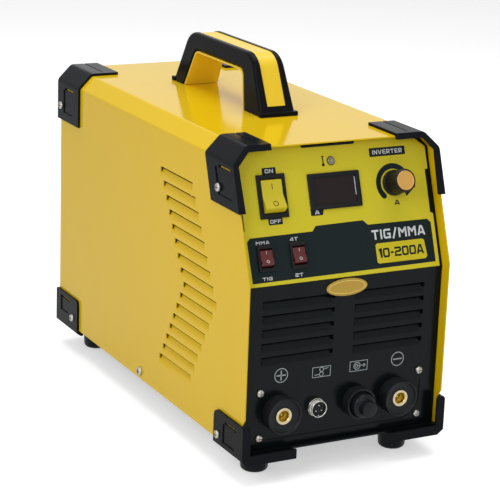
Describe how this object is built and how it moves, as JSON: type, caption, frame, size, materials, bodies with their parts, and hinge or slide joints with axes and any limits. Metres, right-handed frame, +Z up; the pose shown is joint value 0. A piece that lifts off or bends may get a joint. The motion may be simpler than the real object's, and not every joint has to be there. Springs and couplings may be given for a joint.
{
  "type": "inverter welding power source",
  "caption": "Portable inverter welding power source: louvred sheet-metal case with leaning control panel, rocker switches, current knob, twist-lock output sockets, corner guards, feet and carry handle",
  "frame": {"origin": "floor plane under the middle of the overall box, between the feet", "axes": "+X to the right seen from the front, +Y from the control front to the fan end, +Z up"},
  "size_m": [0.1894, 0.408, 0.3107],
  "materials": {
    "cover_yellow": "gloss",
    "panel_black": "satin",
    "decal_yellow": "printed film",
    "guard_black": "fine texture",
    "grip_black": "fine texture",
    "screw_steel": "zinc plated",
    "rubber_black": "moulded",
    "switch_black": "moulded",
    "rocker_yellow": "moulded",
    "rocker_red": "moulded",
    "meter_red": "tinted window",
    "module_grey": "moulded",
    "led_yellow": "clear tint",
    "shaft_steel": "plated",
    "cap_copper": "anodised",
    "socket_black": "moulded",
    "contact_brass": "turned",
    "sink_aluminium": "extruded",
    "board_green": "solder mask",
    "parts_dark": "moulded",
    "bar_copper": "bare copper"
  },
  "bodies": {
    "case": {"base_pan": "panel_black", "top_cover": "cover_yellow", "front_panel": "panel_black", "rear_panel": "panel_black", "control_decal": "decal_yellow", "guard_top_front_left": "guard_black", "guard_top_front_right": "guard_black", "guard_top_rear_left": "guard_black", "guard_top_rear_right": "guard_black", "guard_low_front_left": "guard_black", "guard_low_front_right": "guard_black", "guard_low_rear_left": "guard_black", "guard_low_rear_right": "guard_black", "guard_screws": "screw_steel", "cover_screws": "screw_steel", "panel_screws": "screw_steel", "feet": "rubber_black", "foot_screws": "screw_steel", "handle_core": "cover_yellow", "handle_side_left": "grip_black", "handle_side_right": "grip_black", "handle_boots": "grip_black", "handle_screws": "screw_steel", "main_switch_body": "switch_black", "process_switch_body": "switch_black", "trigger_switch_body": "switch_black", "meter_lens": "meter_red", "meter_module": "module_grey", "overheat_led": "led_yellow", "potentiometer": "module_grey", "oval_badge": "decal_yellow", "plus_socket_shell": "socket_black", "plus_socket_contact": "contact_brass", "minus_socket_shell": "socket_black", "minus_socket_contact": "contact_brass", "control_socket_shell": "shaft_steel", "control_socket_insert": "socket_black", "torch_port_body": "socket_black", "torch_port_spigot": "contact_brass", "fan_frame": "switch_black", "fan_guard": "shaft_steel", "mains_gland": "switch_black", "gas_inlet": "contact_brass", "earth_stud": "contact_brass", "gas_valve": "module_grey", "gas_hose": "rubber_black", "heat_sinks": "sink_aluminium", "power_board": "board_green", "board_parts": "parts_dark", "main_transformer": "parts_dark", "control_board": "board_green", "busbars": "bar_copper"},
    "main_rocker": {"main_rocker": "rocker_yellow"},
    "process_rocker": {"process_rocker": "rocker_red"},
    "trigger_rocker": {"trigger_rocker": "rocker_red"},
    "current_knob": {"pot_shaft": "shaft_steel", "current_knob": "switch_black", "knob_cap": "cap_copper"},
    "fan": {"fan_rotor": "switch_black"},
    "torch_cap": {"torch_port_cap": "rubber_black"}
  },
  "joints": [
    {"name": "main_rocker_hinge", "type": "hinge", "parent": "case", "child": "main_rocker", "pos_m": [-0.0566, -0.15653, 0.22179], "axis": [1, 0, 0], "range_deg": [0, 24]},
    {"name": "process_rocker_hinge", "type": "hinge", "parent": "case", "child": "process_rocker", "pos_m": [-0.0685, -0.17233, 0.17773], "axis": [1, 0, 0], "range_deg": [0, 24]},
    {"name": "trigger_rocker_hinge", "type": "hinge", "parent": "case", "child": "trigger_rocker", "pos_m": [-0.04, -0.17243, 0.17745], "axis": [1, 0, 0], "range_deg": [0, 24]},
    {"name": "current_knob_hinge", "type": "hinge", "parent": "case", "child": "current_knob", "pos_m": [0.0526, -0.16221, 0.2252], "axis": [0, -0.9413, 0.3375], "range_deg": [-135, 135]},
    {"name": "fan_spin", "type": "hinge", "parent": "case", "child": "fan", "pos_m": [0, 0.356, 0.154], "axis": [0, 1, 0], "continuous": true},
    {"name": "torch_cap_pull", "type": "slide", "parent": "case", "child": "torch_cap", "axis": [0, -1, 0], "range_m": [0, 0.018]}
  ]
}
